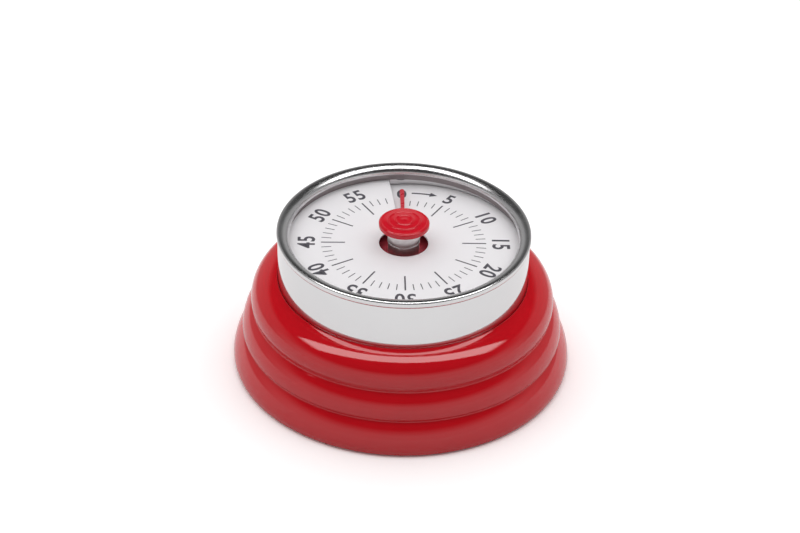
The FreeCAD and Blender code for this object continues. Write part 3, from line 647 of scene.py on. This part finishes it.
dial_white, tree, shader, grain = finish_nodes("dial_white")
grain.inputs["Scale"].default_value = 380.0
tint(tree, grain, shader, shade(dial_colour, 0.99), shade(dial_colour, 1.01))
vary(tree, grain, shader, "Roughness", 0.36, 0.46)
relief(tree, grain, shader, 0.000001)
piece("dial", dial_shape, "housing", "dial_white", dial_white, "dial_plate")


# Dial print.
# Sixty ticks, the minutes in fives and an arrow to wind by, pad-printed in dark grey ink.
tick_outer = 17.15 * mm
tick_inner = 15.1 * mm
long_tick_inner = 12.15 * mm
tick_width = 0.19 * mm
long_tick_width = 0.32 * mm
numeral_height = 3.7 * mm
numeral_radius = 20.2 * mm
numeral_narrow = 0.85
numeral_bold = 0.02
numeral_spacing = 1.1
numeral_every = 5
numeral_smooth = 6
ink_thickness = 0.02 * mm
arrow_radius = 20.55 * mm
arrow_tail = 1.0
arrow_head = 2.85
arrow_tip = 3.6
arrow_width = 0.5 * mm
arrow_head_width = 1.7 * mm
arrow_steps = 12
ink_colour = (0.075, 0.07, 0.085, 1)

print_ink, tree, shader, grain = finish_nodes("print_ink")
grain.inputs["Scale"].default_value = 1500.0
tint(tree, grain, shader, shade(ink_colour, 0.9), shade(ink_colour, 1.1))
vary(tree, grain, shader, "Roughness", 0.4, 0.55)


def lay_on_dial(shape):
    """Bring a flat print down onto the dial, over its bent part too."""
    for vert in shape.verts:
        vert.co.z += dial_top - dial_sink(vert.co)
    return shape


ticks_shape = bmesh.new()
for minute in range(minutes_round):
    long_tick = minute % numeral_every == 0
    inner = long_tick_inner if long_tick else tick_inner
    width = long_tick_width if long_tick else tick_width
    place = (Matrix.Rotation(dial_angle(minute), 4, "Z")
             @ Matrix.Translation(((inner + tick_outer) / 2, 0, ink_thickness / 2))
             @ Matrix.Diagonal((tick_outer - inner, width, ink_thickness, 1)))
    bmesh.ops.create_cube(ticks_shape, size=1.0, matrix=place)
piece("dial_ticks", lay_on_dial(ticks_shape), "housing", "dial_white", print_ink)

for minute in range(0, minutes_round, numeral_every):
    words = bpy.data.curves.new("numeral", "FONT")
    words.body = str(minute)
    words.align_x = "CENTER"
    words.align_y = "CENTER"
    words.size = 1.0
    words.offset = numeral_bold
    words.space_character = numeral_spacing
    words.resolution_u = numeral_smooth
    words.extrude = 0.5
    flat = bpy.data.objects.new("numeral", words)
    scene.collection.objects.link(flat)
    bpy.context.view_layer.update()
    numeral_shape = bmesh.new()
    numeral_shape.from_mesh(bpy.data.meshes.new_from_object(flat))
    bpy.data.objects.remove(flat)
    low = min(vert.co.y for vert in numeral_shape.verts)
    high = max(vert.co.y for vert in numeral_shape.verts)
    centre = (high + low) / 2
    size = numeral_height / (high - low)
    bmesh.ops.translate(numeral_shape, verts=numeral_shape.verts[:], vec=(0, -centre, 0.5))
    bmesh.ops.scale(numeral_shape, verts=numeral_shape.verts[:],
                    vec=(numeral_narrow * size, size, ink_thickness))
    bmesh.ops.translate(numeral_shape, verts=numeral_shape.verts[:], vec=(0, numeral_radius, 0))
    bmesh.ops.rotate(numeral_shape, verts=numeral_shape.verts[:], cent=(0, 0, 0),
                     matrix=Matrix.Rotation(math.radians(-minute_turn * minute), 3, "Z"))
    bmesh.ops.remove_doubles(numeral_shape, verts=numeral_shape.verts[:], dist=weld_distance)
    piece("numeral_%02d" % minute, lay_on_dial(numeral_shape), "housing", "dial_white", print_ink)

arrow_shape = bmesh.new()
shaft_low = arrow_shape.verts.new((arrow_radius - arrow_width / 2, 0, 0))
shaft_high = arrow_shape.verts.new((arrow_radius + arrow_width / 2, 0, 0))
arrow_shape.edges.new((shaft_low, shaft_high))
bmesh.ops.rotate(arrow_shape, verts=arrow_shape.verts[:], cent=(0, 0, 0),
                 matrix=Matrix.Rotation(dial_angle(arrow_tail), 3, "Z"))
swing(arrow_shape, arrow_shape.verts[:] + arrow_shape.edges[:],
      dial_angle(arrow_head) - dial_angle(arrow_tail), arrow_steps)
head_turn = dial_angle(arrow_head)
tip_turn = dial_angle(arrow_tip)
head_corners = [arrow_shape.verts.new((r * math.cos(a), r * math.sin(a), 0))
                for r, a in ((arrow_radius - arrow_head_width / 2, head_turn),
                             (arrow_radius + arrow_head_width / 2, head_turn),
                             (arrow_radius, tip_turn))]
arrow_shape.faces.new(head_corners)
bmesh.ops.recalc_face_normals(arrow_shape, faces=arrow_shape.faces[:])
thicken(arrow_shape, ink_thickness)
piece("dial_arrow", lay_on_dial(arrow_shape), "housing", "dial_white", print_ink)


# Bezel.
# Chromed ring pressed over the drum: a broad roll that turns down inside and a tight edge outside.
# A steel sleeve under the roll holds the dial down; its dark reddish colour is painted shade from the
# roll above it, with a painted red reflection.
roll_middle = 25.6 * mm
roll_top = 31.77 * mm
roll_radius = 1.85 * mm
roll_in = math.radians(85.0)
roll_out = math.radians(14.4)
edge_radius = 0.55 * mm
edge_middle = 25.83 * mm
edge_height = 31.2 * mm
edge_drop = 0.3 * mm
curl_middle = (26.33 * mm, 30.6 * mm)
curl_end = (26.17 * mm, 30.3 * mm)
lip_wall = 0.35 * mm
skirt_inner = 25.92 * mm
skirt_seat = 30.5 * mm
sleeve_outer = 24.63 * mm
sleeve_inner = 24.33 * mm
sleeve_base = 28.5 * mm
sleeve_top = 31.0 * mm
lip_slant = 0.2 * mm
bezel_crease = 0.03 * mm


def on_roll(turn):
    """Point of the roll whose face leans outward by an angle."""
    return (roll_middle + roll_radius * math.sin(turn), roll_top - roll_radius * (1 - math.cos(turn)))


edge_turn = (math.radians(90.0) + roll_out) / 2
bezel_shape = turned(
    (skirt_inner, skirt_seat),
    (curl_end[0], skirt_seat),
    curl_end,
    (curl_middle, (edge_middle + edge_radius, edge_height - edge_drop)),
    (edge_middle + edge_radius, edge_height),
    ((edge_middle + edge_radius * math.sin(edge_turn), edge_height + edge_radius * math.cos(edge_turn)),
     on_roll(roll_out)),
    (on_roll(-roll_in / 2), on_roll(-roll_in)),
    (on_roll(-roll_in)[0] + lip_wall, on_roll(-roll_in)[1]),
    (sleeve_outer - lip_slant, sleeve_top),
    (sleeve_outer, drum_top),
    (skirt_inner, drum_top),
    corners=bezel_crease, turns=384, arc_steps=26)
bezel_chrome = metal("bezel_chrome", chrome_dark, chrome_light, (0.21, 0.26), 240.0, 0.0000004)
piece("bezel", bezel_shape, "housing", "chrome", bezel_chrome, "bezel_ring", sharp=40.0)

# Steel darkened and tinted red: painted shade under the roll and a painted red reflection.
sleeve_painted_shade = metal("sleeve_painted_shade", (0.26, 0.225, 0.228, 1), (0.30, 0.265, 0.268, 1),
                   (0.34, 0.44), 700.0, 0.000002)
sleeve_shape = turned(
    (sleeve_inner, sleeve_base),
    (sleeve_outer, sleeve_base),
    (sleeve_outer, sleeve_top),
    (sleeve_inner, sleeve_top))
piece("bezel_sleeve", sleeve_shape, "housing", "chrome", sleeve_painted_shade)


# Red film.
# A thin tinted disc on the stem's flange; it shows as dark red in the hole of the dial.
red_film, tree, shader, grain = finish_nodes("red_film")
grain.inputs["Scale"].default_value = 500.0
tint(tree, grain, shader, (0.42, 0.05, 0.07, 1), (0.50, 0.06, 0.08, 1))
vary(tree, grain, shader, "Roughness", 0.12, 0.2)
dress(red_film, "film_disc")


# Stem.
# Turned and polished steel; it widens toward the cap and carries the film on a flange below.
stem_radius = 3.26 * mm
stem_head_radius = 3.8 * mm
stem_flange_radius = 4.26 * mm
stem_base = 25.7 * mm
film_height = 26.3 * mm
needle_height = 28.95 * mm
needle_thickness = 0.3 * mm
stem_bore = 1.52 * mm
cap_base = 32.55 * mm
stem_crease = 0.05 * mm

stem_steel = metal("stem_steel", (0.72, 0.70, 0.70, 1), (0.80, 0.78, 0.78, 1),
                   (0.38, 0.46), 500.0, 0.000002)
stem_shape = turned(
    (stem_bore, stem_base),
    (stem_flange_radius, stem_base),
    (stem_flange_radius, film_height),
    (stem_radius, film_height),
    (stem_radius, needle_height + needle_thickness),
    (stem_head_radius, cap_base),
    (stem_bore, cap_base),
    corners=stem_crease, turns=160)
piece("stem", stem_shape, "knob", "stem_steel", stem_steel, "knob_stem")


# Hand.
# Stamped from thin sheet and painted red; its bare steel eye is pressed on the stem.
needle_eye_outer = 3.36 * mm
needle_eye_inner = 3.28 * mm
needle_root_width = 0.6 * mm
needle_tip_width = 0.95 * mm
needle_root = 3.3 * mm
needle_reach = 19.3 * mm
tip_steps = 12
eye_crease = 0.04 * mm

red_paint, tree, shader, grain = finish_nodes("red_paint")
grain.inputs["Scale"].default_value = 900.0
tint(tree, grain, shader, (0.50, 0.02, 0.035, 1), (0.56, 0.025, 0.042, 1))
vary(tree, grain, shader, "Roughness", 0.25, 0.38)

needle_shape = bmesh.new()
tip_centre = needle_reach - needle_tip_width / 2
tip_start = needle_shape.verts.new((needle_tip_width / 2, tip_centre, needle_height))
tip_end = made_verts(swing(needle_shape, [tip_start], math.pi, tip_steps,
                           centre=(0, tip_centre, needle_height)))[0]
root_left = needle_shape.verts.new((-needle_root_width / 2, needle_root, needle_height))
root_right = needle_shape.verts.new((needle_root_width / 2, needle_root, needle_height))
needle_shape.edges.new((tip_end, root_left))
needle_shape.edges.new((root_left, root_right))
needle_shape.edges.new((root_right, tip_start))
bmesh.ops.edgenet_fill(needle_shape, edges=needle_shape.edges[:])
thicken(needle_shape, needle_thickness)
piece("hand_blade", needle_shape, "knob", "red_paint", red_paint, "needle")
eye_shape = turned(
    (needle_eye_inner, needle_height),
    (needle_eye_outer, needle_height),
    (needle_eye_outer, needle_height + needle_thickness),
    (needle_eye_inner, needle_height + needle_thickness),
    corners=eye_crease, turns=96)
piece("hand_eye", eye_shape, "knob", "red_paint", stem_steel)


# Cap.
# Red moulded button with a low dome, fine raised rings and a dot, pressed on over the stem.
cap_radius = 5.26 * mm
cap_rim_thickness = 1.1 * mm
cap_dome = 0.55 * mm
cap_edge = 0.3 * mm
cap_socket = 0.4 * mm
cap_dot_radius = 0.6 * mm
cap_ring_first = 1.8 * mm
cap_ring_pitch = 1.5 * mm
cap_ring_width = 0.45 * mm
cap_ring_rise = 0.12 * mm
cap_rings = 3
cap_crease = 0.05 * mm
edge_share = 0.29
cap_rim_top = cap_base + cap_rim_thickness


def cap_surface(radius):
    """Height of the cap's dome at a radius."""
    return cap_rim_top + cap_dome * (1 - (radius / cap_radius) ** 2)


cap_steps = [
    (cap_radius - cap_edge, cap_base),
    ((cap_radius - edge_share * cap_edge, cap_base + edge_share * cap_edge),
     (cap_radius, cap_base + cap_edge)),
    (cap_radius, cap_rim_top - cap_edge / 2),
    (cap_radius - cap_edge / 2, cap_surface(cap_radius - cap_edge / 2))]
for ring in reversed(range(cap_rings)):
    middle = cap_ring_first + ring * cap_ring_pitch
    outer = middle + cap_ring_width / 2
    inner = middle - cap_ring_width / 2
    cap_steps.append((outer, cap_surface(outer)))
    cap_steps.append(((middle, cap_surface(middle) + cap_ring_rise), (inner, cap_surface(inner))))
cap_steps += [(cap_dot_radius, cap_surface(cap_dot_radius)),
              ((cap_dot_radius / 2, cap_surface(0.0) + 0.75 * cap_ring_rise),
               (0.0, cap_surface(0.0) + cap_ring_rise)),
              (0.0, cap_base + cap_socket), (stem_bore, cap_base + cap_socket)]

red_plastic, tree, shader, grain = finish_nodes("red_plastic")
grain.inputs["Scale"].default_value = 600.0
tint(tree, grain, shader, (0.58, 0.006, 0.018, 1), (0.62, 0.008, 0.021, 1))
vary(tree, grain, shader, "Roughness", 0.07, 0.10)
relief(tree, grain, shader, 0.0000002)
cap_shape = turned((stem_bore, cap_base), *cap_steps, corners=cap_crease, turns=192, arc_steps=8)
piece("cap", cap_shape, "knob", "red_plastic", red_plastic, "knob_cap")
